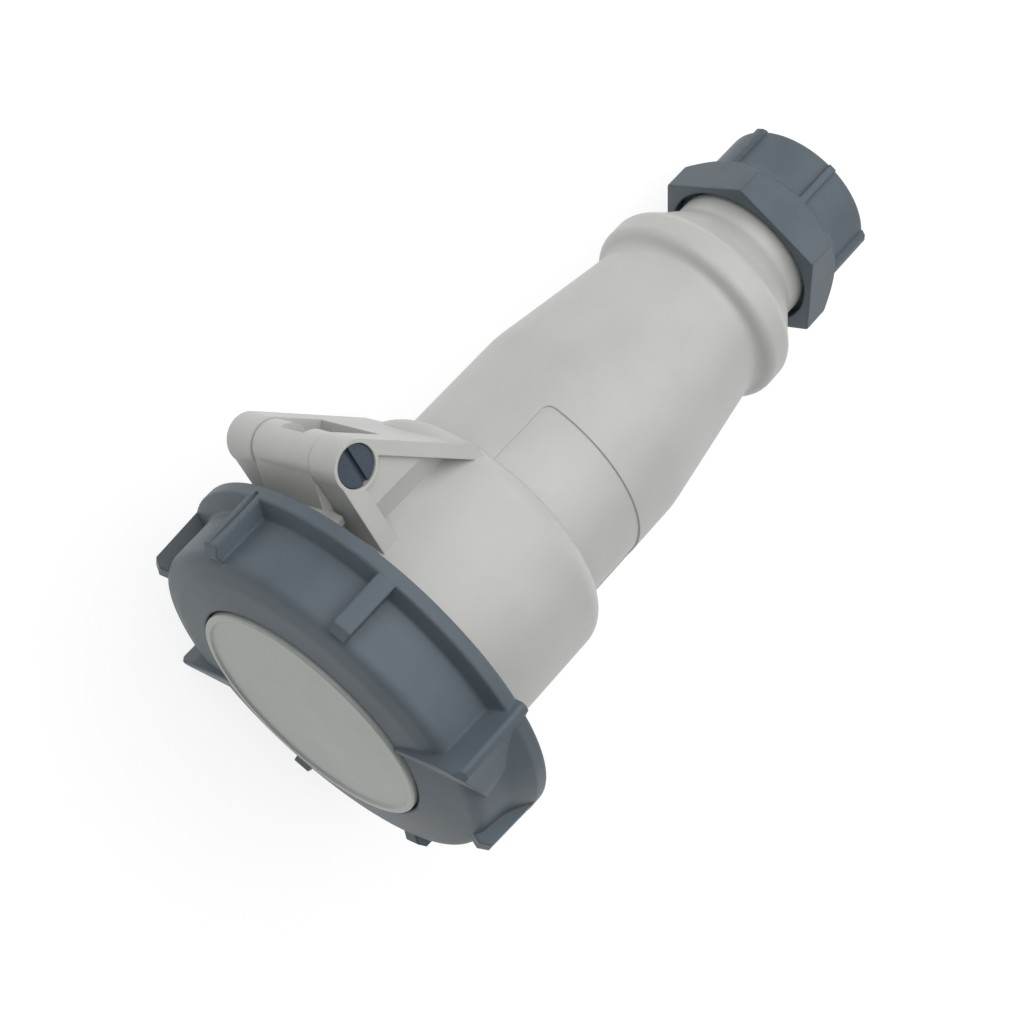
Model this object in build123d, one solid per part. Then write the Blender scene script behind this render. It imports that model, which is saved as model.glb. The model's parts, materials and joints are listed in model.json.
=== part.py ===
from build123d import *

import os
from math import acos, asin, atan, cos, degrees, radians, sin, sqrt

# Industrial power coupler: a splash-proof 32 A five-pole cable connector with a hinged lid and a
# bayonet locking ring. Millimetres. The pieces are drawn about the coupler's own axis, +Z from the
# lid's face (height 0) to the cable gland, with the lid's hinge on the +X side. At the end they are
# turned into the pose in which the coupler lies on a table, with +Z up.

# Fits and clearances
RUN = 0.08  # radial clearance of a shaft that turns in its hole
GAP = 0.3  # free space between faces that move past each other
SEAT = 0.15  # radial clearance of a piece that is pushed into its seat
PIN_FIT = 0.05  # radial clearance of the hinge screw

# Lid cap: the pale disc that closes the lid's front
CAP_R = 33.0
CAP_THICK = 3.0
CAP_RIM_WIDE = 2.2
CAP_RIM_HIGH = 0.5
HUB_R = 27.5
HUB_WALL = 3.0
SNAP_COUNT = 4
SNAP_R = 20.0
SNAP_WIDE = 6.0
SNAP_THICK = 2.4
SNAP_BARB = 0.9
SNAP_BARB_HIGH = 1.2

# Bayonet ring
RING_FRONT = 1.0  # height of its front edge beside the cap
RING_WEB = 3.0  # thickness of the front wall that the cap traps
RING_LENGTH = 22.6  # from the front edge to the rear rim
RING_RIM_R = 54.25
RING_RIM_WIDE = 3.6
RING_RIM_SLOPE = 1.9
RING_PANEL_R = 49.4
RING_PANEL_DRAFT = 0.7
RING_BROW_Z = 3.6  # height of the corner between front face and panels, upper half
RING_BROW_ROUND = 3.0
RING_CHEEK_R = 50.6  # radius of the fuller panels on the lower half
RING_CHEEK_Z = 4.2
RING_CHEEK_ROUND = 4.0
RING_CHEEK_END = 13.0  # height at which they start to rise to the rim
RING_BORE_R = 46.6
RING_BORE_FRONT = 13.6  # height at which the bore becomes nearly cylindrical
RING_STEP = 45.0  # angle between its ribs and wings
RIB_WIDE = 4.9
RIB_HIGH = 3.9  # above the panels
RIB_NOSE = 2.5
RIB_FRONT = 3.4
WING_PROUD = 2.35  # from the rim to the wing's ridge
WING_NOSE = 3.5
WING_FRONT = 0.4
WING_ANGLES = (90.0, 270.0)
WING_FOOT = 1.9  # degrees from the steep face's foot to the start of the ridge
WING_RISE = 0.38  # slope by which the wing's front sinks into the ring's face
# Degrees behind the ridge, sixtieths of the wing's height above the cheek that are left there
WING_FALL = ((2.0, 58), (5.0, 33), (9.0, 20), (16.0, 8), (30.0, -16))
INDEX_GROOVE = 1.4
NOSE_HALF = 9.0  # half-angle of each inner nose
NOSE_R = 39.4
NOSE_THICK = 3.0
NOSE_ANGLES = (90.0, 270.0)
TWIST = 40.0  # turn from free to locked

# Lid: plate, arm and hinge barrel in one moulding
PLATE_THICK = 3.0
PLATE_R = 38.0
PLATE_LIP_R = 41.0
PLATE_LIP_HIGH = 1.8
ARM_ROOM = 1.2  # radial room between the arm and the ring's bore
ARM_WALL = 2.5
ARM_ROOT = 13.6  # height at which the arm becomes parallel to the axis
ARM_BACK = 29.4
ARM_HALF = 19.5  # half-angle of the arm
GASKET_IN_R = 34.6
GASKET_OUT_R = 39.4
GASKET_THICK = 2.4

# Hinge
HINGE_X = 53.7
HINGE_Z = 36.2
BARREL_R = 6.0
BARREL_HALF = 11.3
HINGE_SCREW_R = 2.5
SCREW_HEAD_R = 5.1
SCREW_HEAD_THICK = 2.6
SCREW_SLOT = 1.5
SCREW_SLOT_DEEP = 1.1
SCREW_SUNK = 0.5
SPRING_COIL_R = 3.7
SPRING_WIRE_R = 0.4
SPRING_TURNS = 5
SPRING_PITCH = 1.5
SPRING_POCKET = 9.4  # width of the pocket in the barrel

# Hinge ears on the front housing
EAR_BOSS_R = 6.3
EAR_OUT = 21.4
EAR_THICK = 9.7
EAR_BASE_FRONT = 30.2
EAR_LEG_ANGLE = 134.2  # direction of the upper leg from +X towards +Z
EAR_LEG = 3.6
EAR_FRONT_LEG = 5.0
EAR_WEB_SUNK = 1.2
EAR_RAMP_X = 42.0  # where the web starts to slope down to the collar
EAR_RAMP_END = (34.2, 15.8)
EAR_FOOT_X = 28.0
EAR_END = 65.2  # height at which the upper leg ends on the shoulder
ROOF_THICK = 3.0
ROOF_EDGE_X = 48.8  # front edge of the roof that joins the ears

# Front housing
COLLAR_R = 38.0
COLLAR_BORE_R = 35.6
COLLAR_FRONT = 12.3
CHAMBER_FLOOR = 54.0
FLOOR_THICK = 3.5
FLOOR_BORE_R = 28.6
FRONT_CAVITY_R = 34.4
SHOULDER_Z = 66.9
FRONT_END = 68.3
SEAM_R = 33.0
SHOULDER_ROUND = 6.4
KEYWAY_WIDE = 8.0
KEYWAY_DEEP = 1.3
STUD_R = 42.2
STUD_FRONT = 15.8
STUD_THICK = 3.1
STUD_FROM = 18.0  # degrees after a free nose at which a stud starts
STUD_TO = 46.0

# Rear housing: handle, bead, neck and gland thread
SPIGOT_R = 29.6
SPIGOT_LENGTH = 9.0
SPIGOT_WALL = 3.6
HANDLE_R = 31.3
HANDLE_STRAIGHT_END = 106.0
HANDLE_WAIST_R = 25.3
HANDLE_WAIST = 147.8
BEAD_R = 28.9
BEAD_FRONT = 150.3
BEAD_BACK = 157.2
BEAD_ROUND = 3.2
BEAD_FOOT = (25.4, 161.6)
NECK_R = 20.0
NECK_START = 169.5
NUT_FRONT = 174.6
HANDLE_WALL = 3.2
THREAD_R = 18.6
THREAD_START = 177.0
THREAD_END = 190.0
GLAND_SEAT = 172.0
GLAND_BORE_R = 15.4
CABLE_WAY_R = 12.5
LABEL_DEEP = 0.4
LABEL_BACK = 89.8
LABEL_MIDDLE = 90.0
LABEL_HALF = 54.5
LABEL_CORNER = 2.5

# Seal between the two housings
SEAL_SECTION = 2.0
SEAL_Z = 65.6
SEAL_SQUEEZE = 0.15

# Insulators that hold the contacts
BOSS_R = 30.0
BOSS_WALL = 3.0
BOSS_FRONT = 16.0
COVER_LIP = 1.8
COVER_SEAT = 1.0  # depth to which the sleeves sit in the cover's back
FLANGE_R = 35.3
FLANGE_THICK = 4.0
CARRIER_STEP = 3.0  # height of the step that centres the boss
CARRIER_REAR_R = 25.6
CARRIER_REAR = 64.0
CARRIER_BACK_THICK = 5.5
CONTACT_CIRCLE_R = 18.0
CONTACT_COUNT = 5
CONTACT_RECESS = 4.0
PHASE_PIN_R = 3.0
EARTH_PIN_R = 4.0
PIN_ROOM = 0.1  # radial room for a pin in the cover
BORE_ROOM = 0.06  # radial room for a pin in its sleeve
SLEEVE_WALL = 1.5
SLEEVE_DEEP = 26.0
COLLAR_EXTRA = 1.2
COLLAR_LENGTH = 5.0
TERMINAL_R = 5.2
TERMINAL_LENGTH = 15.0
WIRE_R = 2.7
WIRE_DEEP = 11.0
TERMINAL_SCREW_R = 1.8
TERMINAL_SCREW_Z = 77.5
CARRIER_SCREW_R = 1.5
CARRIER_SCREW_HEAD_R = 2.6
CARRIER_SCREW_CIRCLE_R = 32.4
CARRIER_SCREW_ANGLES = (45.0, 225.0)
CENTRE_SCREW_R = 2.0
CENTRE_SCREW_HEAD_R = 3.8
CENTRE_SCREW_HEAD = 2.6
CENTRE_SCREW_LENGTH = 20.0

# Cable gland
NUT_LENGTH = 26.8
NUT_CORNER_R = 27.1
NUT_SKIRT = 8.0
NUT_SHOULDER = 5.0
NUT_BODY_R = 22.1
NUT_RIB_R = 23.5
NUT_RIB_WIDE = 2.2
NUT_SIDES = 6
NUT_TURN = -34.4 + 33.0  # angle of the first flat's middle from the hinge
NUT_MOUTH_R = 21.6
NUT_MOUTH_DEEP = 4.2
NUT_THREAD_CLEAR = 0.25
NUT_HOLE_R = 13.0
CAGE_WALL = 2.6
CAGE_FINGERS = 8
CAGE_SLIT = 1.2
CAGE_END = 191.0
SEAL_BORE_R = 8.5
CABLE_SEAL_START = 174.0
THRUST_THICK = 2.4
THRUST_BORE_R = 11.5

# Sizes that follow from those above
RING_REAR = RING_FRONT + RING_LENGTH
WEB_FRONT = CAP_THICK + GAP
WEB_BACK = WEB_FRONT + RING_WEB
PLATE_FRONT = WEB_BACK + GAP
PLATE_BACK = PLATE_FRONT + PLATE_THICK
RIB_TOP_R = RING_PANEL_R + RIB_HIGH
WING_R = RING_RIM_R + WING_PROUD
SLEEVE_FRONT = BOSS_FRONT + CONTACT_RECESS - COVER_SEAT + SEAT
ARM_R = RING_BORE_R - ARM_ROOM
NUT_REAR = NUT_FRONT + NUT_LENGTH
NUT_FLAT_R = NUT_CORNER_R * cos(radians(180 / NUT_SIDES))
THRUST_START = CAGE_END + GAP
THRUST_END = THRUST_START + THRUST_THICK
EAR_IN = EAR_OUT - EAR_THICK
LEG_DIRECTION = (cos(radians(EAR_LEG_ANGLE)), sin(radians(EAR_LEG_ANGLE)))


def section(*stations):
    """Face in the XZ plane through (radius, height[, corner radius]) stations."""
    corners = [station[:2] for station in stations]
    rounds = [station[2] if len(station) > 2 else 0 for station in stations]
    return Plane.XZ * make_face(FilletPolyline(*corners, radius=rounds, close=True))


def turned(*stations, arc=360.0, start=0.0):
    """Solid turned about the Z axis, or a sector of it from the angle start."""
    return Rot(0, 0, start) * revolve(section(*stations), Axis.Z, revolution_arc=arc)


def tube(inner, outer, low, high):
    """Plain tube on the Z axis."""
    return turned((inner, low), (outer, low), (outer, high), (inner, high))


def rod(radius, low, high):
    """Plain cylinder on the Z axis between two heights."""
    return Pos(0, 0, low) * Cylinder(radius, high - low, align=(Align.CENTER, Align.CENTER, Align.MIN))


def across(radius, low, high):
    """Plain cylinder on the hinge axis between two distances from the middle."""
    return Pos(HINGE_X, 0, HINGE_Z) * Rot(-90, 0, 0) * rod(radius, low, high)


def around(solid, angle):
    """Solid turned about the coupler's axis."""
    return Rot(0, 0, angle) * solid


def past(height):
    """Block that holds all there is above a height."""
    side = 4 * HINGE_X
    return Pos(0, 0, height + side / 2) * Box(side, side, side)


def plate(points, low, high):
    """Prism across the hinge: (x, z) outline between two distances from the middle."""
    outline = Plane.XZ * make_face(Polyline(*points, close=True))
    return Pos(0, low, 0) * extrude(outline, high - low, dir=(0, 1, 0))


def contact_places():
    """Name, angle and pin radius of each contact; the earth lies opposite the hinge."""
    names = ("pe", "l1", "l2", "l3", "n")
    step = 360 / CONTACT_COUNT
    return [(name, 180 + index * step, EARTH_PIN_R if name == "pe" else PHASE_PIN_R)
            for index, name in enumerate(names)]


def make_lid_cap():
    """Disc with a raised rim, a hub that the ring turns on and snap legs."""
    face = CAP_R - CAP_RIM_WIDE
    body = turned(
        (0, CAP_RIM_HIGH), (face, CAP_RIM_HIGH), (face + 0.4, 0), (CAP_R, 0, 0.6), (CAP_R, CAP_THICK),
        (HUB_R - RUN, CAP_THICK), (HUB_R - RUN, PLATE_FRONT), (HUB_R - HUB_WALL, PLATE_FRONT),
        (HUB_R - HUB_WALL, CAP_THICK), (0, CAP_THICK))
    leg_top = PLATE_BACK + SEAT + SNAP_BARB_HIGH
    leg = section(
        (SNAP_R, CAP_THICK - 0.5), (SNAP_R + SNAP_THICK, CAP_THICK - 0.5),
        (SNAP_R + SNAP_THICK, PLATE_BACK + SEAT), (SNAP_R + SNAP_THICK + SNAP_BARB, PLATE_BACK + SEAT),
        (SNAP_R + SNAP_THICK, leg_top), (SNAP_R, leg_top))
    leg = extrude(leg, SNAP_WIDE / 2, both=True)
    for index in range(SNAP_COUNT):
        body += around(leg, 45 + index * 360 / SNAP_COUNT)
    return body


def ring_outline(*side):
    """Outer and inner profile of the ring, with the given stations between face and rim."""
    lip = CAP_R + 0.5
    rim_front = RING_REAR - RING_RIM_WIDE
    return (
        (HUB_R, WEB_FRONT), (lip, WEB_FRONT), (lip, RING_FRONT, 0.5), *side, (RING_RIM_R, rim_front, 0.6),
        (RING_RIM_R, RING_REAR, 0.6), (RING_BORE_R, RING_REAR),
        (RING_BORE_R - RING_PANEL_DRAFT, RING_BORE_FRONT, 2.0), (PLATE_LIP_R - 1.8, WEB_BACK), (HUB_R, WEB_BACK))


def wing_radius(sixtieths):
    """Radius at a share of the wing's height above the cheek."""
    return RING_CHEEK_R + sixtieths * (WING_R - RING_CHEEK_R) / 60


def make_wing():
    """Grip wing: a steep face up to a ridge, and a long fall to the cheek behind it."""
    inner = CAP_R + 1.0

    def at(radius, angle):
        return radius * cos(radians(angle)), radius * sin(radians(angle))

    points = [at(inner, -WING_FOOT), at(RING_PANEL_R, -WING_FOOT), at(WING_R - 0.6, -0.6), at(WING_R, 0.2)]
    points += [at(wing_radius(share), angle) for angle, share in WING_FALL]
    points.append(at(inner, WING_FALL[-1][0]))
    block = Pos(0, 0, WING_FRONT) * extrude(make_face(Polyline(*points, close=True)), RING_REAR - WING_FRONT)
    tilt = degrees(atan(WING_RISE))
    cutter = Pos(0, 0, WING_FRONT) * Rot(tilt, 0, 0) * Pos(0, 0, -WING_R) * Box(4 * WING_R, 4 * WING_R, 2 * WING_R)
    corner = turned((WING_R - WING_NOSE, WING_FRONT - 1), (WING_R + 2, WING_FRONT - 1),
                    (WING_R + 2, WING_FRONT + WING_NOSE + 0.1))
    return block - cutter - corner


def make_bayonet_ring():
    """Locking ring: recessed panels above, full cheeks below, ribs, two grip wings, two inner noses."""
    rim_front = RING_REAR - RING_RIM_WIDE
    first, last = WING_ANGLES
    brow = ((43.0, RING_FRONT + 0.8, 8.0), (RING_PANEL_R - 0.3, RING_BROW_Z, RING_BROW_ROUND),
            (RING_PANEL_R, rim_front - RING_RIM_SLOPE, 0.8))
    cheek = ((RING_CHEEK_R - 1.2, RING_CHEEK_Z, RING_CHEEK_ROUND), (RING_CHEEK_R, RING_CHEEK_END, 12.0))
    ring = turned(*ring_outline(*brow), arc=360 - last + first, start=last)
    ring += turned(*ring_outline(*cheek), arc=last - first, start=first)
    rib_arc = degrees(RIB_WIDE / RIB_TOP_R)
    inner = RING_PANEL_R - RING_PANEL_DRAFT - 1.2
    rib = turned((inner, RIB_FRONT + 1.0), (RIB_TOP_R - RIB_NOSE, RIB_FRONT), (RIB_TOP_R, RIB_FRONT + 1.5),
                 (RING_RIM_R - 0.1, rim_front + 0.5), (inner, rim_front + 0.5), arc=rib_arc)
    for index in range(round(360 / RING_STEP)):
        angle = index * RING_STEP
        if angle not in WING_ANGLES:
            ring += around(rib, angle - rib_arc / 2)
    wing = make_wing()
    ring += around(wing, first) + around(mirror(wing, Plane.XZ), last)
    ring -= Pos(RING_RIM_R, 0, rim_front / 2 + 1.5) * Box(2.0, INDEX_GROOVE, rim_front)
    ring -= turned(
        (0, WEB_BACK), (PLATE_LIP_R - 1.8, WEB_BACK), (RING_BORE_R - RING_PANEL_DRAFT, RING_BORE_FRONT, 2.0),
        (RING_BORE_R, RING_REAR + 1), (0, RING_REAR + 1))
    ring -= rod(HUB_R, 0, WEB_BACK + 1) + rod(CAP_R + 0.5, -1, WEB_FRONT)
    nose = turned((NOSE_R, RING_REAR - NOSE_THICK - 1.0), (RING_BORE_R + 1.0, RING_REAR - NOSE_THICK - 1.0),
                  (RING_BORE_R + 1.0, RING_REAR - 1.0), (NOSE_R, RING_REAR - 1.0), arc=2 * NOSE_HALF)
    for angle in NOSE_ANGLES:
        ring += around(nose, angle - NOSE_HALF)
    return ring


def make_lid():
    """Lid plate with the gasket's seat, the arm that passes the ring, and the hinge barrel."""
    lip_back = PLATE_BACK + PLATE_LIP_HIGH
    lid = turned(
        (0, PLATE_FRONT), (PLATE_R, PLATE_FRONT), (PLATE_LIP_R, PLATE_BACK), (PLATE_LIP_R, lip_back),
        (GASKET_OUT_R + SEAT, lip_back), (GASKET_OUT_R + SEAT, PLATE_BACK),
        (GASKET_IN_R - SEAT, PLATE_BACK), (GASKET_IN_R - SEAT, lip_back),
        (GASKET_IN_R - SEAT - 1.6, lip_back), (GASKET_IN_R - SEAT - 1.6, PLATE_BACK), (0, PLATE_BACK))
    arm_half = ARM_HALF
    arm_in = ARM_R - ARM_WALL
    lid += turned(
        (PLATE_R - 1.0, PLATE_FRONT), (PLATE_R, PLATE_FRONT), (ARM_R, ARM_ROOT), (ARM_R, ARM_BACK),
        (arm_in, ARM_BACK), (arm_in, ARM_ROOT + 1.2), (PLATE_LIP_R - 0.6, lip_back),
        (PLATE_LIP_R - 0.6, PLATE_BACK), arc=2 * arm_half, start=-arm_half)
    root_x = sqrt(ARM_R**2 - BARREL_HALF**2) - ARM_WALL
    bridge = plate([
        (root_x, RING_REAR + GAP), (ARM_R - 0.6, RING_REAR + GAP), (ARM_R, ARM_BACK - 1.6),
        (HINGE_X + BARREL_R * 0.35, HINGE_Z - BARREL_R * 0.92), (HINGE_X, HINGE_Z),
        (HINGE_X - BARREL_R + 0.3, HINGE_Z - 1.0), (ARM_R - 0.3, ARM_BACK + 1.2), (root_x, ARM_BACK)],
        -BARREL_HALF, BARREL_HALF)
    bridge -= rod(arm_in, 0, 2 * HINGE_Z)
    lid += bridge
    lid += across(BARREL_R, -BARREL_HALF, BARREL_HALF)
    lid -= across(HINGE_SCREW_R + RUN, -BARREL_HALF - 1, BARREL_HALF + 1)
    pocket = SPRING_COIL_R + SPRING_WIRE_R + GAP
    lid -= across(pocket, -SPRING_POCKET / 2, SPRING_POCKET / 2)
    back = Pos(HINGE_X, 0, HINGE_Z + 1.0 + BARREL_R) * Box(3 * BARREL_R, SPRING_POCKET, 2 * BARREL_R)
    lid -= back
    slot_long = SNAP_WIDE + 2 * SEAT
    slot_in = SNAP_R - SEAT
    slot_out = SNAP_R + SNAP_THICK + SNAP_BARB + SEAT
    slot = Pos((slot_in + slot_out) / 2, 0, PLATE_BACK - PLATE_THICK / 2) * Box(
        slot_out - slot_in, slot_long, PLATE_THICK + 1)
    barb_floor = Pos(SNAP_R + SNAP_THICK + SNAP_BARB / 2 + SEAT, 0, PLATE_BACK - PLATE_THICK / 2) * Box(
        SNAP_BARB, slot_long + 1, PLATE_THICK)
    for index in range(SNAP_COUNT):
        lid -= around(slot - barb_floor, 45 + index * 360 / SNAP_COUNT)
    return lid


def make_lid_gasket():
    """Flat rubber ring that the lid presses on the collar's front edge."""
    top = PLATE_BACK + GASKET_THICK
    return turned((GASKET_IN_R, PLATE_BACK), (GASKET_OUT_R, PLATE_BACK), (GASKET_OUT_R, top, 0.5),
                  (GASKET_IN_R, top, 0.5))


def make_ear():
    """Hinge ear on the +Y side: screw boss, two legs and the sunk web between them."""
    along, rise = LEG_DIRECTION
    tangent = (HINGE_X + EAR_BOSS_R * rise, HINGE_Z - EAR_BOSS_R * along)
    length = (tangent[0] - EAR_FOOT_X) / -along
    foot = (EAR_FOOT_X, tangent[1] + rise * length)
    inside = [(x - rise * EAR_LEG, z + along * EAR_LEG) for x, z in (tangent, foot)]
    leg_back = EAR_BASE_FRONT + EAR_FRONT_LEG
    front = [(HINGE_X, EAR_BASE_FRONT), (HINGE_X, leg_back), (EAR_FOOT_X, leg_back), (EAR_FOOT_X, EAR_BASE_FRONT)]
    legs = plate([tangent, foot, inside[1], inside[0]], EAR_IN, EAR_OUT) + plate(front, EAR_IN, EAR_OUT)
    legs += across(EAR_BOSS_R, EAR_IN, EAR_OUT)
    web = plate([(HINGE_X, HINGE_Z), inside[0], inside[1], (EAR_FOOT_X, EAR_BASE_FRONT + 1),
                 (HINGE_X, EAR_BASE_FRONT + 1)], EAR_IN, EAR_OUT - EAR_WEB_SUNK)
    top = EAR_OUT - EAR_WEB_SUNK
    slope = (top - EAR_RAMP_END[1]) / (EAR_RAMP_X - EAR_RAMP_END[0])
    ramp = extrude(make_face(Polyline(
        (EAR_RAMP_X, top), (EAR_RAMP_X, top + 9), (EAR_FOOT_X - 5, top + 9),
        (EAR_FOOT_X - 5, top - slope * (EAR_RAMP_X - EAR_FOOT_X + 5)), close=True)), 2 * FRONT_END)
    return legs + (web - ramp) - past(EAR_END)


def make_front_housing():
    """Collar, wide cylinder and shoulder, with the hinge ears and the bayonet studs."""
    floor_back = CHAMBER_FLOOR + FLOOR_THICK
    mouth = SPIGOT_R + SEAT
    land = SEAL_Z - SEAL_SECTION - 1.0
    outer = turned(
        (0, COLLAR_FRONT), (COLLAR_R, COLLAR_FRONT, 0.5), (COLLAR_R, SHOULDER_Z, SHOULDER_ROUND),
        (SEAM_R, FRONT_END), (0, FRONT_END))
    ear = make_ear()
    outer += ear + mirror(ear, Plane.XZ)
    along, rise = LEG_DIRECTION
    tangent = (HINGE_X + EAR_BOSS_R * rise, HINGE_Z - EAR_BOSS_R * along)
    roof = []
    for x, sink in ((ROOF_EDGE_X, 0), (EAR_FOOT_X, 0), (EAR_FOOT_X, ROOF_THICK), (ROOF_EDGE_X, ROOF_THICK)):
        z = tangent[1] + rise * (tangent[0] - x) / -along
        roof.append((x - rise * sink, z + along * sink))
    outer += plate(roof, -EAR_IN - 1, EAR_IN + 1) - past(EAR_END)
    cavity = turned(
        (0, COLLAR_FRONT - 1), (COLLAR_BORE_R, COLLAR_FRONT - 1), (COLLAR_BORE_R, CHAMBER_FLOOR),
        (FLOOR_BORE_R, CHAMBER_FLOOR), (FLOOR_BORE_R, floor_back), (FRONT_CAVITY_R, floor_back),
        (FRONT_CAVITY_R, floor_back + 1.5), (mouth, land), (mouth, FRONT_END + 1), (0, FRONT_END + 1))
    housing = outer - cavity
    keyway = Pos(-COLLAR_BORE_R, 0, (COLLAR_FRONT + CHAMBER_FLOOR) / 2 - 6) * Box(
        2 * KEYWAY_DEEP, KEYWAY_WIDE, CHAMBER_FLOOR - COLLAR_FRONT)
    housing -= keyway
    for angle in NOSE_ANGLES:
        stud = turned(
            (COLLAR_R - 1, STUD_FRONT), (STUD_R, STUD_FRONT), (STUD_R, STUD_FRONT + STUD_THICK),
            (COLLAR_R - 1, STUD_FRONT + STUD_THICK), arc=STUD_TO - STUD_FROM, start=angle + STUD_FROM)
        housing += stud
    head_well = SCREW_HEAD_R + 0.25
    housing -= across(HINGE_SCREW_R + PIN_FIT, -EAR_OUT + 2.5, EAR_OUT + 1)
    housing -= across(head_well, EAR_OUT - SCREW_SUNK - SCREW_HEAD_THICK, EAR_OUT + 1)
    for angle in CARRIER_SCREW_ANGLES:
        pilot = Pos(CARRIER_SCREW_CIRCLE_R, 0, 0) * rod(CARRIER_SCREW_R + PIN_FIT, CHAMBER_FLOOR - 1, floor_back + 1)
        housing -= around(pilot, angle)
    return housing


def make_hinge_screw():
    """Slotted hinge screw, from its head in the near ear to the far ear."""
    head_top = EAR_OUT - SCREW_SUNK
    head_base = head_top - SCREW_HEAD_THICK
    screw = across(HINGE_SCREW_R, -EAR_OUT + 3.0, head_base) + across(SCREW_HEAD_R, head_base, head_top)
    slot = Pos(HINGE_X, head_top - SCREW_SLOT_DEEP / 2, HINGE_Z) * Box(
        2 * SCREW_HEAD_R + 1, SCREW_SLOT_DEEP, SCREW_SLOT)
    return screw - slot


def make_hinge_spring():
    """Torsion spring round the hinge screw, with one leg on the housing's bridge."""
    length = SPRING_TURNS * SPRING_PITCH
    coil_path = Helix(pitch=SPRING_PITCH, height=length, radius=SPRING_COIL_R)
    wire = Plane(coil_path @ 0, z_dir=coil_path % 0) * Circle(SPRING_WIRE_R)
    coil = sweep(wire, path=coil_path)
    return Pos(HINGE_X, -length / 2, HINGE_Z) * Rot(-90, 0, 0) * coil


def handle_stations():
    """Outer profile of the rear housing, from the seam to the neck."""
    return (
        (HANDLE_R, FRONT_END), (HANDLE_R, HANDLE_STRAIGHT_END, 30.0),
        (HANDLE_WAIST_R, HANDLE_WAIST, 2.5), (BEAD_R, BEAD_FRONT, BEAD_ROUND), (BEAD_R, BEAD_BACK, BEAD_ROUND),
        (*BEAD_FOOT, 2.0), (NECK_R, NECK_START, 3.0), (NECK_R, THREAD_START - 0.5, 0.4))


def make_rear_housing():
    """Handle with its bead, neck and gland thread, and the spigot inside the front housing."""
    spigot_front = FRONT_END - SPIGOT_LENGTH
    outer = turned(
        (0, spigot_front), (SPIGOT_R, spigot_front, 0.6), (SPIGOT_R, FRONT_END), *handle_stations(),
        (THREAD_R, THREAD_START + 1.0), (THREAD_R, THREAD_END, 0.6), (0, THREAD_END))
    spigot_bore = SPIGOT_R - SPIGOT_WALL
    cavity = turned(
        (0, spigot_front - 1), (spigot_bore, spigot_front - 1), (spigot_bore, HANDLE_STRAIGHT_END - 4, 20.0),
        (HANDLE_WAIST_R - HANDLE_WALL, HANDLE_WAIST, 6.0), (CABLE_WAY_R, GLAND_SEAT - 9.0),
        (CABLE_WAY_R, GLAND_SEAT), (GLAND_BORE_R, GLAND_SEAT), (GLAND_BORE_R, THREAD_END + 1), (0, THREAD_END + 1))
    groove = tube(SPIGOT_R - SEAL_SECTION + SEAL_SQUEEZE, SPIGOT_R + 1,
                  SEAL_Z - SEAL_SECTION / 2 - SEAT, SEAL_Z + SEAL_SECTION / 2 + SEAT)
    label = turned((HANDLE_R - LABEL_DEEP, FRONT_END), (HANDLE_R + 1, FRONT_END), (HANDLE_R + 1, LABEL_BACK),
                   (HANDLE_R - LABEL_DEEP, LABEL_BACK), arc=2 * LABEL_HALF, start=LABEL_MIDDLE - LABEL_HALF)
    corners = label.edges().filter_by(GeomType.LINE).group_by(Axis.Z)[-1]
    label = fillet(corners, LABEL_CORNER)
    return outer - cavity - groove - label


def make_housing_seal():
    """Sealing ring between the housings, in the spigot's groove."""
    inner = SPIGOT_R - SEAL_SECTION + 2 * SEAL_SQUEEZE
    half = SEAL_SECTION / 2
    return turned((inner, SEAL_Z - half, 0.7), (SPIGOT_R + 0.1, SEAL_Z - half, 0.7),
                  (SPIGOT_R + 0.1, SEAL_Z + half, 0.7), (inner, SEAL_Z + half, 0.7))


def sleeve_radius(pin_radius):
    """Outer radius of the contact sleeve for a pin."""
    return pin_radius + BORE_ROOM + SLEEVE_WALL


def make_carrier_cover():
    """Front plate of the insulating boss, with one hole for each pin."""
    back = BOSS_FRONT + CONTACT_RECESS
    lip = BOSS_R - BOSS_WALL - SEAT
    cover = turned((0, BOSS_FRONT), (BOSS_R, BOSS_FRONT, 0.8), (BOSS_R, back), (lip, back), (lip, back + COVER_LIP),
                   (lip - 1.8, back + COVER_LIP), (lip - 1.8, back), (0, back))
    for name, angle, pin_radius in contact_places():
        hole = rod(pin_radius + PIN_ROOM, BOSS_FRONT - 1, back) + rod(
            sleeve_radius(pin_radius) + SEAT, back - COVER_SEAT, back + 1)
        cover -= around(Pos(CONTACT_CIRCLE_R, 0, 0) * hole, angle)
    return cover


def make_carrier_boss():
    """Insulating tube round the contacts, which the plug's sleeve slides over."""
    return tube(BOSS_R - BOSS_WALL, BOSS_R, BOSS_FRONT + CONTACT_RECESS, CHAMBER_FLOOR - FLANGE_THICK)


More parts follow.
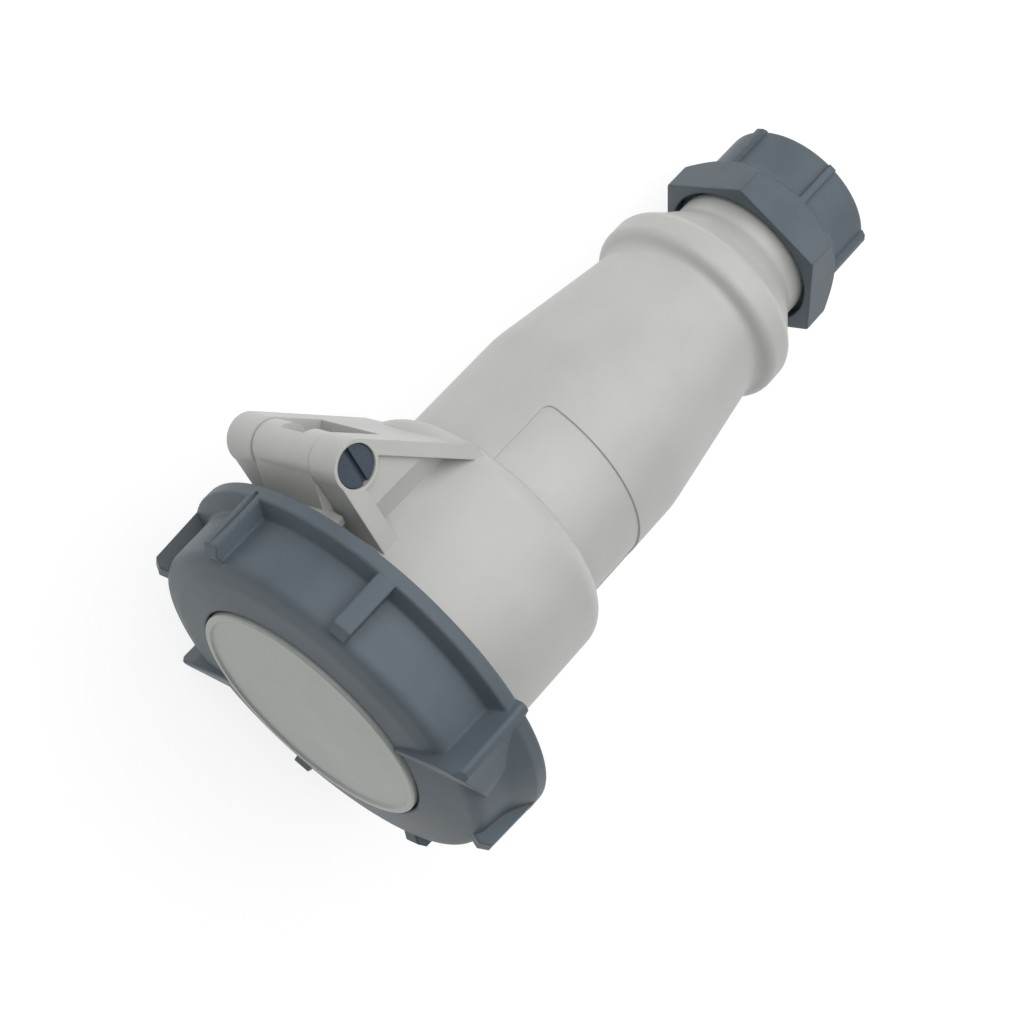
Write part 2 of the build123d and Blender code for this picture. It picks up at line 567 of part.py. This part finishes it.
def make_contact_carrier():
    """Insulating block with its flange, one stepped hole for each contact."""
    flange_front = CHAMBER_FLOOR - FLANGE_THICK
    step_front = flange_front - CARRIER_STEP
    carrier = turned(
        (0, step_front), (BOSS_R - BOSS_WALL - SEAT, step_front), (BOSS_R - BOSS_WALL - SEAT, flange_front),
        (FLANGE_R, flange_front), (FLANGE_R, CHAMBER_FLOOR), (CARRIER_REAR_R, CHAMBER_FLOOR),
        (CARRIER_REAR_R, CARRIER_REAR), (0, CARRIER_REAR))
    for name, angle, pin_radius in contact_places():
        outer = sleeve_radius(pin_radius) + SEAT
        shaft = Pos(CONTACT_CIRCLE_R, 0, 0) * rod(outer, step_front - 1, CARRIER_REAR + 1)
        seat = Pos(CONTACT_CIRCLE_R, 0, 0) * rod(outer + COLLAR_EXTRA, CARRIER_REAR - COLLAR_LENGTH, CARRIER_REAR + 1)
        carrier -= around(shaft + seat, angle)
    for angle in CARRIER_SCREW_ANGLES:
        hole = Pos(CARRIER_SCREW_CIRCLE_R, 0, 0) * (
            rod(CARRIER_SCREW_R + SEAT, flange_front - 1, CHAMBER_FLOOR + 1)
            + rod(CARRIER_SCREW_HEAD_R + SEAT, flange_front - 1, flange_front + 2.2))
        carrier -= around(hole, angle)
    return carrier - rod(CENTRE_SCREW_R + PIN_FIT, step_front - 1, CARRIER_REAR + 1)


def make_carrier_back():
    """Insulating disc that holds the contacts' collars in the carrier."""
    back = CARRIER_REAR + CARRIER_BACK_THICK
    disc = turned((0, CARRIER_REAR), (CARRIER_REAR_R, CARRIER_REAR), (CARRIER_REAR_R, back, 0.8), (0, back))
    for name, angle, pin_radius in contact_places():
        hole = Pos(CONTACT_CIRCLE_R, 0, 0) * rod(TERMINAL_R + SEAT, CARRIER_REAR - 1, back + 1)
        disc -= around(hole, angle)
    return disc - rod(CENTRE_SCREW_R + SEAT, CARRIER_REAR - 1, back + 1)


def make_contact(angle, pin_radius):
    """Turned contact: slit sleeve, collar and terminal barrel with its wire hole."""
    outer = sleeve_radius(pin_radius)
    collar_front = CARRIER_REAR - COLLAR_LENGTH
    end = CARRIER_REAR + TERMINAL_LENGTH + CARRIER_BACK_THICK
    contact = turned(
        (0, SLEEVE_FRONT), (outer, SLEEVE_FRONT, 0.4), (outer, collar_front), (outer + COLLAR_EXTRA - SEAT, collar_front),
        (outer + COLLAR_EXTRA - SEAT, CARRIER_REAR), (TERMINAL_R, CARRIER_REAR), (TERMINAL_R, end, 0.4), (0, end))
    contact -= rod(pin_radius + BORE_ROOM, SLEEVE_FRONT - 1, SLEEVE_FRONT + SLEEVE_DEEP)
    contact -= rod(WIRE_R, end - WIRE_DEEP, end + 1)
    cross = Pos(0, 0, TERMINAL_SCREW_Z) * Rot(0, 90, 0) * rod(TERMINAL_SCREW_R + PIN_FIT, 0, TERMINAL_R + 1)
    return around(Pos(CONTACT_CIRCLE_R, 0, 0) * (contact - cross), angle)


def make_terminal_screws():
    """Grub screws of the terminals, one for each contact."""
    driver = Box(1.6, 2 * TERMINAL_SCREW_R + 1, 0.7)
    screw = Rot(0, 90, 0) * rod(TERMINAL_SCREW_R, WIRE_R + 0.2, TERMINAL_R + 0.4) - Pos(TERMINAL_R + 0.4, 0, 0) * driver
    return Compound([
        around(Pos(CONTACT_CIRCLE_R, 0, TERMINAL_SCREW_Z) * screw, angle).solid()
        for name, angle, pin in contact_places()])


def make_carrier_screws():
    """Screws that hold the carrier's flange to the chamber floor."""
    flange_front = CHAMBER_FLOOR - FLANGE_THICK
    screw = rod(CARRIER_SCREW_HEAD_R, flange_front + 0.1, flange_front + 2.2)
    screw += rod(CARRIER_SCREW_R, flange_front + 2.0, CHAMBER_FLOOR + FLOOR_THICK - 0.4)
    screw -= Pos(0, 0, flange_front) * Box(2 * CARRIER_SCREW_HEAD_R, 0.8, 1.8)
    return Compound([
        around(Pos(CARRIER_SCREW_CIRCLE_R, 0, 0) * screw, angle).solid() for angle in CARRIER_SCREW_ANGLES])


def make_centre_screw():
    """Screw that holds the back disc to the carrier."""
    back = CARRIER_REAR + CARRIER_BACK_THICK
    screw = rod(CENTRE_SCREW_R, back - CENTRE_SCREW_LENGTH, back)
    screw += turned((0, back), (CENTRE_SCREW_HEAD_R, back), (CENTRE_SCREW_HEAD_R, back + CENTRE_SCREW_HEAD, 0.8),
                    (0, back + CENTRE_SCREW_HEAD))
    slot = Pos(0, 0, back + CENTRE_SCREW_HEAD) * Box(2 * CENTRE_SCREW_HEAD_R, 1.0, 2.4)
    return screw - slot


def make_gland_nut():
    """Gland nut: hollow hexagon skirt, shoulder and ribbed body."""
    skirt_back = NUT_FRONT + NUT_SKIRT
    body_front = skirt_back + NUT_SHOULDER
    envelope = turned(
        (0, NUT_FRONT), (NUT_CORNER_R, NUT_FRONT, 0.4), (NUT_CORNER_R, skirt_back, 1.0),
        (NUT_BODY_R, body_front, 3.0), (NUT_BODY_R, NUT_REAR, 1.0), (0, NUT_REAR))
    prism = Pos(0, 0, NUT_FRONT) * extrude(
        Rot(0, 0, 180 / NUT_SIDES) * RegularPolygon(NUT_CORNER_R, NUT_SIDES), NUT_LENGTH)
    nut = envelope & prism
    rib = turned(
        (NUT_BODY_R - 1, skirt_back), (NUT_RIB_R, skirt_back), (NUT_RIB_R, NUT_REAR - 1.0),
        (NUT_BODY_R, NUT_REAR), (NUT_BODY_R - 1, NUT_REAR), arc=degrees(NUT_RIB_WIDE / NUT_RIB_R))
    for index in range(NUT_SIDES):
        nut += around(rib, index * 360 / NUT_SIDES - degrees(NUT_RIB_WIDE / NUT_RIB_R) / 2)
    bore = turned(
        (0, NUT_FRONT - 1), (NUT_MOUTH_R, NUT_FRONT - 1), (NUT_MOUTH_R, NUT_FRONT + NUT_MOUTH_DEEP),
        (THREAD_R + NUT_THREAD_CLEAR, NUT_FRONT + NUT_MOUTH_DEEP), (THREAD_R + NUT_THREAD_CLEAR, THRUST_END + SEAT),
        (NUT_HOLE_R, THRUST_END + SEAT), (NUT_HOLE_R, NUT_REAR + 1), (0, NUT_REAR + 1))
    return around(nut - bore, NUT_TURN)


def make_clamp_cage():
    """Slit clamping sleeve round the cable seal."""
    outer = GLAND_BORE_R - SEAT
    inner = outer - CAGE_WALL
    cage = turned(
        (CABLE_WAY_R, GLAND_SEAT), (outer, GLAND_SEAT), (outer, THREAD_END), (outer - 1.0, CAGE_END),
        (inner, CAGE_END), (inner, CABLE_SEAL_START), (CABLE_WAY_R, CABLE_SEAL_START))
    slit = Pos(outer, 0, CAGE_END) * Box(4 * CAGE_WALL, CAGE_SLIT, 2 * (CAGE_END - CABLE_SEAL_START - 5.0))
    for index in range(CAGE_FINGERS):
        cage -= around(slit, index * 360 / CAGE_FINGERS)
    return cage


def make_cable_seal():
    """Rubber sleeve that grips the cable."""
    outer = GLAND_BORE_R - SEAT - CAGE_WALL - SEAT
    return turned((SEAL_BORE_R, CABLE_SEAL_START), (outer, CABLE_SEAL_START), (outer, CAGE_END - 0.4, 0.5),
                  (SEAL_BORE_R, CAGE_END - 0.4))


def make_thrust_ring():
    """Slip ring between the nut and the clamping sleeve."""
    return tube(THRUST_BORE_R, THREAD_R - SEAT, THRUST_START, THRUST_END)


def rest_pose():
    """Location that lays the coupler on its ring's rim, one wing and the gland nut."""
    wing_angle, share = WING_FALL[0]
    down_angle = WING_ANGLES[1] - wing_angle - degrees(acos(RING_RIM_R / wing_radius(share)))
    rib_half = degrees(NUT_RIB_WIDE / NUT_RIB_R) / 2
    feet = []
    for index in range(NUT_SIDES):
        flat = index * 360 / NUT_SIDES + NUT_TURN
        feet += [(NUT_RIB_R, flat - rib_half, NUT_REAR - 1.0), (NUT_RIB_R, flat + rib_half, NUT_REAR - 1.0)]
        feet.append((NUT_CORNER_R, flat + 180 / NUT_SIDES, NUT_FRONT + NUT_SKIRT))
    slopes = [(RING_RIM_R - radius * cos(radians(angle - down_angle))) / (height - RING_REAR)
              for radius, angle, height in feet]
    pitch = degrees(atan(min(slopes)))
    return down_angle, pitch, Rot(0, 90 + pitch, 0) * Rot(0, 0, -down_angle)


PIECES = {
    "front_housing": make_front_housing,
    "rear_housing": make_rear_housing,
    "housing_seal": make_housing_seal,
    "carrier_cover": make_carrier_cover,
    "carrier_boss": make_carrier_boss,
    "contact_carrier": make_contact_carrier,
    "carrier_back": make_carrier_back,
    "terminal_screws": make_terminal_screws,
    "carrier_screws": make_carrier_screws,
    "centre_screw": make_centre_screw,
    "hinge_screw": make_hinge_screw,
    "hinge_spring": make_hinge_spring,
    "lid": make_lid,
    "lid_cap": make_lid_cap,
    "lid_gasket": make_lid_gasket,
    "bayonet_ring": make_bayonet_ring,
    "gland_nut": make_gland_nut,
    "thrust_ring": make_thrust_ring,
    "clamp_cage": make_clamp_cage,
    "cable_seal": make_cable_seal,
}


def main():
    os.makedirs("parts", exist_ok=True)
    solids = {name: make() for name, make in PIECES.items()}
    for name, angle, pin_radius in contact_places():
        solids["contact_" + name] = make_contact(angle, pin_radius)
    down_angle, pitch, lying = rest_pose()
    laid = {name: lying * solid for name, solid in solids.items()}
    box = Compound(children=[Compound(piece.wrapped) for piece in laid.values()]).bounding_box()
    place = Pos(-(box.min.X + box.max.X) / 2, -(box.min.Y + box.max.Y) / 2, -box.min.Z)
    for name, piece in laid.items():
        export_step(place * piece, os.path.join("parts", name + ".step"))
    print("down angle", round(down_angle, 6), "pitch", round(pitch, 6))
    print("place", [round(value, 5) for value in place.position], "size", box.size)


main()
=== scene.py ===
"""Industrial power coupler: finishes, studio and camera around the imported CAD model.

Every rigid piece is the CAD node itself. This script gives each node the finish of its real material, sets
the coupler on a pale studio floor and places the camera at the photograph's viewing angle. Lengths are metres
unless a name ends in _MM or _mm.
"""

import json
import logging
from dataclasses import dataclass, field
from enum import Enum
from typing import Any, Dict, List, Optional, Tuple

import bpy
import bmesh
from mathutils import Matrix, Vector


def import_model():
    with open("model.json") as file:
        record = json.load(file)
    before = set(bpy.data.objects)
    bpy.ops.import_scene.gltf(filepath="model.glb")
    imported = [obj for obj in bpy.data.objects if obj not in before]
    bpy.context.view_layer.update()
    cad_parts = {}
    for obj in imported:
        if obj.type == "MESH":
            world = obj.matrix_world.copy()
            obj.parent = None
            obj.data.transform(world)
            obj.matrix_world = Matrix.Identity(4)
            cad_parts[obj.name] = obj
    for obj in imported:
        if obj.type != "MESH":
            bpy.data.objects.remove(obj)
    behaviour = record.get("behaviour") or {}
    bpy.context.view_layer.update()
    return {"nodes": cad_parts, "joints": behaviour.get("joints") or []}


LOG = logging.getLogger("coupler")
MM = 0.001
WHITE = (1.0, 1.0, 1.0, 1.0)
SHADE_RANGE = (0.35, 0.65)  # part of the slow noise that runs from one shade to the other
GLOSS_RANGE = (0.3, 0.7)  # part of the fine pattern that changes the gloss
GLOSS_SPREAD = 0.045  # roughness on either side of the finish's own
EDGE_SAMPLES = 6  # rays for the rounding of edges

Settings = Dict[str, Any]
Links = Dict[str, bpy.types.NodeSocket]


def linear(hex_colour: str) -> Tuple[float, float, float, float]:
    """Turn an sRGB hex colour into Blender's linear colour.

    Args:
        hex_colour: Six hex digits with a leading hash.

    Returns:
        Linear red, green, blue and an alpha of one.
    """
    values = [int(hex_colour[i:i + 2], 16) / 255 for i in (1, 3, 5)]
    bent = [v / 12.92 if v <= 0.04045 else ((v + 0.055) / 1.055) ** 2.4 for v in values]
    return (bent[0], bent[1], bent[2], 1.0)


def add_node(tree: bpy.types.NodeTree, kind: str, settings: Optional[Settings] = None,
             links: Optional[Links] = None) -> bpy.types.Node:
    """Add one shader node with its settings and incoming links.

    Args:
        tree: Node tree that gets the node.
        kind: Blender's name of the node type.
        settings: Values by property name, or by input name or number.
        links: Output sockets by the name or number of the input that they feed.

    Returns:
        The new node.
    """
    node = tree.nodes.new(kind)
    for key, value in (settings or {}).items():
        if isinstance(key, str) and hasattr(node, key):
            setattr(node, key, value)
        else:
            node.inputs[key].default_value = value
    for key, socket in (links or {}).items():
        tree.links.new(socket, node.inputs[key])
    return node


class Build(Enum):
    """How a surface was made, which decides the pattern on it."""

    MOULDED = "moulded"
    TURNED = "turned"
    RUBBER = "rubber"


@dataclass(frozen=True)
class Finish:
    """One material, named for the real one, with its pattern in real millimetres."""

    name: str
    colour: str
    worn: str
    roughness: float
    ior: float = 1.5
    metallic: float = 0.0
    build: Build = Build.MOULDED
    grain_mm: float = 0.35
    grain_depth_mm: float = 0.012
    cloud_mm: float = 24.0
    edge_mm: float = 0.45
    sheen: float = 0.0
    specular: float = 0.5

    def coordinates(self, tree: bpy.types.NodeTree, length_mm: float, turn: Matrix) -> bpy.types.NodeSocket:
        """Give Object coordinates turned to the coupler's axes, with one unit for each length_mm.

        Args:
            tree: Material's node tree.
            length_mm: Real length of one pattern unit.
            turn: Rotation from the row frame to the coupler's own axes.

        Returns:
            Vector output of the Mapping node.
        """
        source = add_node(tree, "ShaderNodeTexCoord")
        scale = 1.0 / (length_mm * MM)
        mapping = add_node(tree, "ShaderNodeMapping", {
            "Rotation": turn.to_euler("XYZ"), "Scale": (scale, scale, scale)}, {
            "Vector": source.outputs["Object"]})
        return mapping.outputs["Vector"]

    def grain(self, tree: bpy.types.NodeTree, turn: Matrix) -> bpy.types.NodeSocket:
        """Add the fine pattern: grain of the mould's spark-eroded face, the lathe's feed, or the rubber's skin.

        Args:
            tree: Material's node tree.
            turn: Rotation from the row frame to the coupler's own axes.

        Returns:
            Height output of the pattern.
        """
        links = {"Vector": self.coordinates(tree, self.grain_mm, turn)}
        if self.build is Build.TURNED:
            pattern = add_node(tree, "ShaderNodeTexWave", {
                "wave_type": "BANDS", "bands_direction": "Z", "Scale": 1.0, "Distortion": 0.6,
                "Detail": 1.0, "Detail Scale": 2.0}, links)
        else:
            pattern = add_node(tree, "ShaderNodeTexNoise", {"Scale": 1.0, "Detail": 2.0, "Roughness": 0.6}, links)
        return pattern.outputs["Fac"]

    def make(self, turn: Matrix) -> bpy.types.Material:
        """Build the Blender material.

        Args:
            turn: Rotation from the row frame to the coupler's own axes.

        Returns:
            The finished material.
        """
        material = bpy.data.materials.new(self.name)
        material.use_nodes = True
        tree = material.node_tree
        tree.nodes.clear()
        output = add_node(tree, "ShaderNodeOutputMaterial")
        shader = add_node(tree, "ShaderNodeBsdfPrincipled", {
            "Metallic": self.metallic, "IOR": self.ior, "Sheen Weight": self.sheen,
            "Specular IOR Level": self.specular})
        tree.links.new(shader.outputs["BSDF"], output.inputs["Surface"])

        # Slow clouds of shade, as pigment and flow leave in a moulding
        clouds = add_node(tree, "ShaderNodeTexNoise", {"Scale": 1.0, "Detail": 3.0, "Roughness": 0.55}, {
            "Vector": self.coordinates(tree, self.cloud_mm, turn)})
        shade = add_node(tree, "ShaderNodeMapRange", {
            "From Min": SHADE_RANGE[0], "From Max": SHADE_RANGE[1], "To Min": 0.0, "To Max": 1.0}, {
            "Value": clouds.outputs["Fac"]})
        tint = add_node(tree, "ShaderNodeMix", {"data_type": "RGBA"}, {0: shade.outputs["Result"]})
        tint.inputs[6].default_value = linear(self.colour)
        tint.inputs[7].default_value = linear(self.worn)
        tree.links.new(tint.outputs[2], shader.inputs["Base Color"])

        height = self.grain(tree, turn)
        gloss = add_node(tree, "ShaderNodeMapRange", {
            "From Min": GLOSS_RANGE[0], "From Max": GLOSS_RANGE[1],
            "To Min": self.roughness - GLOSS_SPREAD, "To Max": self.roughness + GLOSS_SPREAD}, {
            "Value": height})
        tree.links.new(gloss.outputs["Result"], shader.inputs["Roughness"])

        # Moulded edges catch the light as small rounds
        rounded = add_node(tree, "ShaderNodeBevel", {"samples": EDGE_SAMPLES, "Radius": self.edge_mm * MM})
        bump = add_node(tree, "ShaderNodeBump", {"Strength": 1.0, "Distance": self.grain_depth_mm * MM}, {
            "Height": height, "Normal": rounded.outputs["Normal"]})
        tree.links.new(bump.outputs["Normal"], shader.inputs["Normal"])
        return material


# Glass-filled polyamide, injection moulded in a spark-eroded tool: an even satin with a slow shift of shade
LIGHT_GREY_POLYAMIDE = Finish("light_grey_polyamide_moulded", "#B9BAB6", "#B3B4B0", roughness=0.42, ior=1.52)
# The same resin in a cooler tone, its colour darker than the housing's as painted shade of the disc's face turned
# from the light, with a polished tool face: the light runs across the disc
CAP_POLYAMIDE_WITH_PAINTED_SHADE = Finish("cap_polyamide_moulded_painted_shade", "#A2A6A1", "#9B9F9A", roughness=0.36, ior=1.52,
                             grain_depth_mm=0.008)
# Blue-grey polyamide, coarser tool face: broad soft highlights along ribs and wings
BLUE_GREY_POLYAMIDE = Finish("blue_grey_polyamide_moulded", "#5E686F", "#576168", roughness=0.48, ior=1.52,
                             grain_mm=0.45, grain_depth_mm=0.016, edge_mm=1.0, specular=0.2)
# Dark polyamide with a smooth moulded head: a small bright highlight beside the slot
DARK_BLUE_POLYAMIDE = Finish("dark_blue_polyamide_moulded", "#3F4A57", "#38424E", roughness=0.3, ior=1.52,
                             grain_depth_mm=0.006, edge_mm=0.3)
# Dark grey thermoset insulator, compression moulded: dull with a fine speckle
DARK_GREY_INSULATOR = Finish("dark_grey_insulator_moulded", "#3B3E40", "#353839", roughness=0.5, ior=1.54)
# Black polyamide of the clamping sleeve and slip ring
BLACK_POLYAMIDE = Finish("black_polyamide_moulded", "#34373A", "#2E3134", roughness=0.46, ior=1.52)
# Moulded black rubber: no gloss, faint bloom
BLACK_RUBBER = Finish("black_rubber_moulded", "#1D1E1F", "#242526", roughness=0.72, ior=1.52,
                      build=Build.RUBBER, grain_mm=0.5, grain_depth_mm=0.02, sheen=0.1)
# Turned brass: fine rings of the tool's feed
TURNED_BRASS = Finish("brass_turned", "#D9BC7A", "#CDAE68", roughness=0.28, metallic=1.0,
                      build=Build.TURNED, grain_mm=0.3, grain_depth_mm=0.004, edge_mm=0.2)
# Zinc-plated steel screws: grey with a soft sparkle
PLATED_STEEL = Finish("steel_zinc_plated", "#C4C6C8", "#B5B7BA", roughness=0.33, metallic=1.0,
                      grain_mm=0.25, grain_depth_mm=0.004, edge_mm=0.15)
# Drawn stainless spring wire
SPRING_WIRE = Finish("stainless_steel_drawn", "#BDBFC1", "#AFB1B3", roughness=0.3, metallic=1.0,
                     grain_mm=0.2, grain_depth_mm=0.003, edge_mm=0.1)


@dataclass
class CouplerAxes:
    """The coupler's own axes, read from its joints: z from the lid to the gland, x towards the hinge."""

    hinge_x_mm: float = 53.7
    hinge_z_mm: float = 36.2
    origin: Vector = field(default_factory=Vector)
    x: Vector = field(default_factory=Vector)
    y: Vector = field(default_factory=Vector)
    z: Vector = field(default_factory=Vector)

    def read(self, joints: List[Dict[str, Any]]) -> "CouplerAxes":
        """Set the axes from the ring's and the lid's joints.

        Args:
            joints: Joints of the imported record.

        Returns:
            This object, with its axes set.
        """
        found = {joint["name"]: joint for joint in joints}
        self.z = Vector(found["ring_twist"]["axis"]).normalized()
        self.y = -Vector(found["lid_hinge"]["axis"]).normalized()
        self.x = self.y.cross(self.z).normalized()
        hinge = Vector(found["lid_hinge"]["pos_m"])
        self.origin = hinge - self.x * self.hinge_x_mm * MM - self.z * self.hinge_z_mm * MM
        return self

    def point(self, x_mm: float, y_mm: float, z_mm: float) -> Vector:
        """Turn a place on the coupler's axes into the row frame.

        Args:
            x_mm: Distance from the axis towards the hinge.
            y_mm: Distance across the hinge.
            z_mm: Height from the lid's face towards the gland.

        Returns:
            The place in metres.
        """
        return self.origin + (self.x * x_mm + self.y * y_mm + self.z * z_mm) * MM

    def direction(self, x: float, y: float, z: float) -> Vector:
        """Turn a direction on the coupler's axes into the row frame.

        Args:
            x: Share towards the hinge.
            y: Share across the hinge.
            z: Share towards the gland.

        Returns:
            The direction, as long as the one given.
        """
        return self.x * x + self.y * y + self.z * z

    def turn(self) -> Matrix:
        """Give the rotation from the row frame to the coupler's own axes."""
        return Matrix((self.x, self.y, self.z))


@dataclass
class SubAssembly:
    """Nodes of the CAD model that are finished together."""

    nodes: Dict[str, bpy.types.Object]
    turn: Matrix

    def dress(self, names: Tuple[str, ...], finish: Finish) -> None:
        """Give CAD nodes a finish.

        Args:
            names: Names of the nodes.
            finish: Finish of their real material.
        """
        material = bpy.data.materials.get(finish.name) or finish.make(self.turn)
        for name in names:
            piece = self.nodes[name]
            if not piece.material_slots:
                piece.data.materials.append(material)
            for slot in piece.material_slots:
                slot.material = material
            LOG.info("dressed %s in %s", name, finish.name)


@dataclass
class Housings(SubAssembly):
    """Front and rear housing with the seal between them."""

    def build(self) -> None:
        """Dress the housings."""
        self.dress(("front_housing", "rear_housing"), LIGHT_GREY_POLYAMIDE)
        self.dress(("housing_seal",), BLACK_RUBBER)


@dataclass
class LidAndRing(SubAssembly):
    """Hinged lid with its disc and gasket, the bayonet ring, the hinge screw and its spring."""

    def build(self) -> None:
        """Dress the lid's pieces, the ring and the hinge."""
        self.dress(("lid",), LIGHT_GREY_POLYAMIDE)
        # The cap's darker colour is partly painted shade
        self.dress(("lid_cap",), CAP_POLYAMIDE_WITH_PAINTED_SHADE)
        self.dress(("lid_gasket",), BLACK_RUBBER)
        self.dress(("bayonet_ring",), BLUE_GREY_POLYAMIDE)
        self.dress(("hinge_screw",), DARK_BLUE_POLYAMIDE)
        self.dress(("hinge_spring",), SPRING_WIRE)


@dataclass
class Contacts(SubAssembly):
    """Insulators, sockets and their screws."""

    def build(self) -> None:
        """Dress the insulators, the sockets and the screws."""
        self.dress(("carrier_back", "carrier_boss", "carrier_cover", "contact_carrier"), DARK_GREY_INSULATOR)
        self.dress(("contact_pe", "contact_l1", "contact_l2", "contact_l3", "contact_n"), TURNED_BRASS)
        self.dress(("terminal_screws", "carrier_screws", "centre_screw"), PLATED_STEEL)


@dataclass
class CableGland(SubAssembly):
    """Gland nut with its slip ring, clamping sleeve and cable seal."""

    def build(self) -> None:
        """Dress the gland."""
        self.dress(("gland_nut",), BLUE_GREY_POLYAMIDE)
        self.dress(("clamp_cage", "thrust_ring"), BLACK_POLYAMIDE)
        self.dress(("cable_seal",), BLACK_RUBBER)


@dataclass(frozen=True)
class Softbox:
    """One square soft light, placed from the coupler's middle."""

    name: str
    offset: Vector
    side: float
    power: float

    def hang(self, middle: Vector) -> None:
        """Hang the light so that it faces the coupler.

        Args:
            middle: The coupler's middle in the row frame.
        """
        lamp = bpy.data.lights.new(self.name, "AREA")
        lamp.shape = "SQUARE"
        lamp.size = self.side
        lamp.energy = self.power
        piece = bpy.data.objects.new(self.name, lamp)
        piece.location = middle + self.offset
        piece.rotation_euler = (-self.offset).to_track_quat("-Z", "Y").to_euler()
        bpy.context.scene.collection.objects.link(piece)


@dataclass
class Studio:
    """Pale floor, soft lights and the camera."""

    axes: CouplerAxes
    floor_side: float = 16.0
    floor_grey: float = 0.25
    floor_glow: float = 0.8
    air_glow: float = 0.2
    middle_z_mm: float = 90.0
    overhead_side: float = 1.8
    overhead_power: float = 17.0
    beside_side: float = 1.2
    beside_power: float = 4.0
    focal_pixels: float = 2214.5
    image_pixels: float = 1024.0
    sensor_mm: float = 36.0
    camera_mm: Tuple[float, float, float] = (305.59, 411.52, -144.12)
    right: Tuple[float, float, float] = (-0.42414, 0.65311, 0.62733)
    down: Tuple[float, float, float] = (-0.71829, 0.17926, -0.67226)
    ahead: Tuple[float, float, float] = (-0.55152, -0.73573, 0.39309)

    def floor(self) -> None:
        """Lay the pale floor under the coupler."""
        sheet = bmesh.new()
        bmesh.ops.create_grid(sheet, x_segments=1, y_segments=1, size=self.floor_side / 2)
        mesh = bpy.data.meshes.new("studio_floor")
        sheet.to_mesh(mesh)
        sheet.free()
        piece = bpy.data.objects.new("studio_floor", mesh)
        bpy.context.scene.collection.objects.link(piece)
        material = bpy.data.materials.new("white_paper_floor")
        material.use_nodes = True
        tree = material.node_tree
        tree.nodes.clear()
        output = add_node(tree, "ShaderNodeOutputMaterial")
        shader = add_node(tree, "ShaderNodeBsdfPrincipled", {
            "Base Color": (self.floor_grey, self.floor_grey, self.floor_grey, 1.0), "Roughness": 0.9,
            "Emission Color": WHITE, "Emission Strength": self.floor_glow})
        tree.links.new(shader.outputs["BSDF"], output.inputs["Surface"])
        mesh.materials.append(material)

    def lights(self) -> None:
        """Hang a large soft light overhead, to the upper left of the view, and a weak one beside it."""
        middle = self.axes.point(0.0, 0.0, self.middle_z_mm)
        right = self.axes.direction(*self.right)
        up = -self.axes.direction(*self.down)
        back = -self.axes.direction(*self.ahead)
        overhead = Vector((0.1, 0.0, 1.15)) - right * 0.15 + up * 0.4
        Softbox("overhead_softbox", overhead, self.overhead_side, self.overhead_power).hang(middle)
        beside = right * 1.1 + up * 0.2 + back * 0.5
        Softbox("side_softbox", beside, self.beside_side, self.beside_power).hang(middle)
        world = bpy.data.worlds.new("studio_air")
        world.use_nodes = True
        tree = world.node_tree
        tree.nodes.clear()
        output = add_node(tree, "ShaderNodeOutputWorld")
        air = add_node(tree, "ShaderNodeBackground", {"Color": WHITE, "Strength": self.air_glow})
        tree.links.new(air.outputs["Background"], output.inputs["Surface"])
        bpy.context.scene.world = world

    def camera(self) -> None:
        """Place the camera where the photograph was taken from, measured on the coupler's own axes."""
        lens = bpy.data.cameras.new("photo_camera")
        lens.sensor_width = self.sensor_mm
        lens.lens = self.sensor_mm * self.focal_pixels / self.image_pixels
        lens.clip_start = 0.01
        lens.clip_end = 20.0
        piece = bpy.data.objects.new("photo_camera", lens)
        right = self.axes.direction(*self.right).normalized()
        ahead = self.axes.direction(*self.ahead).normalized()
        up = right.cross(ahead).normalized()
        right = ahead.cross(up).normalized()
        turn = Matrix((right, up, -ahead)).transposed()
        piece.matrix_world = Matrix.Translation(self.axes.point(*self.camera_mm)) @ turn.to_4x4()
        bpy.context.scene.collection.objects.link(piece)
        bpy.context.scene.camera = piece

    def build(self) -> None:
        """Set up the floor, the lights, the camera and the view's plain tone curve."""
        self.floor()
        self.lights()
        self.camera()
        view = bpy.context.scene.view_settings
        view.view_transform = "Standard"
        view.look = "None"


def main() -> None:
    """Dress the coupler and set up the studio."""
    logging.basicConfig(level=logging.INFO, format="%(name)s: %(message)s")
    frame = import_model()
    axes = CouplerAxes().read(frame["joints"])
    for assembly in (Housings, LidAndRing, Contacts, CableGland):
        assembly(frame["nodes"], axes.turn()).build()
        LOG.info("finished %s", assembly.__name__)
    Studio(axes).build()


if __name__ == "__main__":
    main()
